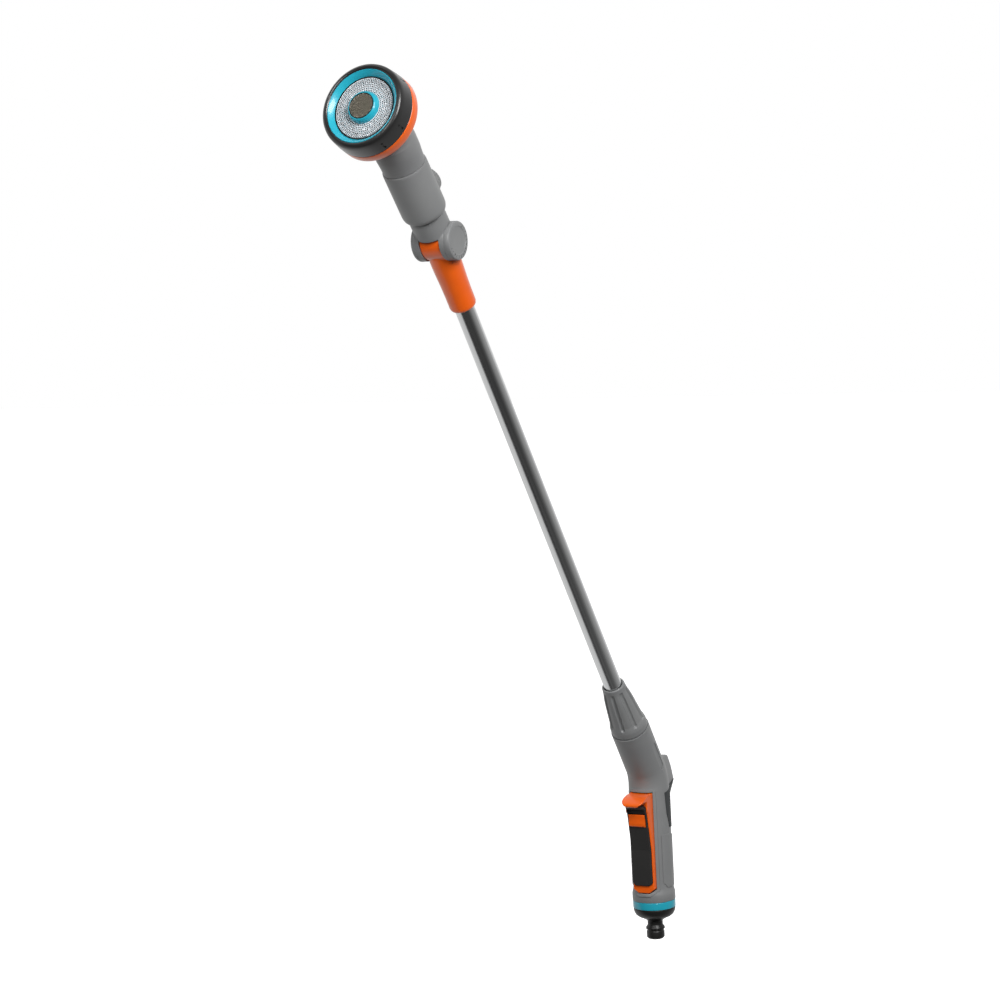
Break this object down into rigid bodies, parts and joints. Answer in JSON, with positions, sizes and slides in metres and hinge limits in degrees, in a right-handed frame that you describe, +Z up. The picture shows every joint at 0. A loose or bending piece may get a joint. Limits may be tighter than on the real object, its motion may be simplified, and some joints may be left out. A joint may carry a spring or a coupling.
{
  "type": "watering wand",
  "caption": "Watering wand with a squeeze lever in its grip, an aluminium tube and a round spray head on a tilt joint.",
  "frame": {"origin": "on the grip axis at the tip end of the hose nipple's sealing land", "axes": "+Z up along the grip axis, -Y to the front where the lever and the spray are, +X to the right of the person holding it"},
  "size_m": [0.075, 0.4962, 0.8142],
  "materials": {
    "grey_plastic": "satin moulded",
    "orange_plastic": "smooth moulded",
    "turquoise_plastic": "smooth moulded",
    "black_plastic": "fine textured",
    "soft_grip": "matt soft moulding",
    "white_plastic": "smooth moulded",
    "steel_mesh": "woven wire",
    "aluminium_tube": "bright drawn",
    "seal_rubber": "matt",
    "inner_plastic": "natural moulded",
    "plated_steel": "plated"
  },
  "bodies": {
    "handle": {"hose_connector": "black_plastic", "inlet_ring": "turquoise_plastic", "inlet_strainer": "inner_plastic", "handle_housing": "grey_plastic", "rear_grip_panel": "grey_plastic", "palm_inlay": "soft_grip", "trigger_pin": "plated_steel", "valve_body": "inner_plastic", "valve_cap": "inner_plastic", "valve_spring": "plated_steel", "water_pipe": "inner_plastic", "tube_socket": "black_plastic", "tube_seal": "seal_rubber", "tube_collet": "inner_plastic", "wand_tube": "aluminium_tube", "joint_neck": "orange_plastic", "neck_seal": "seal_rubber", "pivot_o_rings": "seal_rubber"},
    "trigger": {"trigger_frame": "orange_plastic", "trigger_pad": "soft_grip"},
    "lock": {"lock_button": "orange_plastic"},
    "plunger": {"valve_plunger": "inner_plastic"},
    "collar": {"collar_nut": "grey_plastic"},
    "head": {"tilt_fork": "grey_plastic", "tilt_cap_right": "grey_plastic", "tilt_cap_left": "grey_plastic", "pivot_spindle": "inner_plastic", "head_sleeve": "grey_plastic", "flow_body": "inner_plastic", "flow_o_ring": "seal_rubber", "head_housing": "grey_plastic", "orange_ring": "orange_plastic", "distributor": "inner_plastic", "face_seal": "seal_rubber", "axle_screw": "plated_steel"},
    "flow_control": {"flow_knob": "black_plastic", "flow_spindle": "inner_plastic", "knob_screw": "plated_steel"},
    "spray_face": {"selector_ring": "black_plastic", "face_bezel": "turquoise_plastic", "spray_plate": "white_plastic", "centre_cone": "turquoise_plastic", "mesh_ring": "black_plastic", "mesh_screen": "steel_mesh"}
  },
  "joints": [
    {"name": "trigger_squeeze", "type": "hinge", "parent": "handle", "child": "trigger", "pos_m": [0, -0.013, 0.054], "axis": [-1, 0, 0], "range_deg": [0, 6], "stiffness_Nm_per_rad": 4, "springref_deg": -6.88},
    {"name": "valve_plunger_slide", "type": "slide", "parent": "handle", "child": "plunger", "axis": [0, 1, 0], "range_m": [0, 0.0058], "deforming": ["valve_spring"]},
    {"name": "lock_slide", "type": "slide", "parent": "trigger", "child": "lock", "axis": [0, -0.1616, 0.9869], "range_m": [0, 0.005]},
    {"name": "collar_nut_turn", "type": "hinge", "parent": "handle", "child": "collar", "pos_m": [0, -0.03365, 0.20634], "axis": [0, -0.5534, 0.8329], "range_deg": [0, 270]},
    {"name": "head_tilt", "type": "hinge", "parent": "handle", "child": "head", "pos_m": [0, -0.34067, 0.66845], "axis": [1, 0, 0], "range_deg": [-79, 71]},
    {"name": "flow_knob_turn", "type": "hinge", "parent": "head", "child": "flow_control", "pos_m": [0, -0.37087, 0.70766], "axis": [0, 0.7923, 0.6101], "range_deg": [0, 90]},
    {"name": "spray_selector_turn", "type": "hinge", "parent": "head", "child": "spray_face", "pos_m": [0, -0.45107, 0.77969], "axis": [0, -0.9239, 0.3827], "range_deg": [-33, 33]}
  ],
  "couplings": [
    {"joint": "valve_plunger_slide", "follows": "trigger_squeeze", "m_per_rad": 0.054}
  ]
}
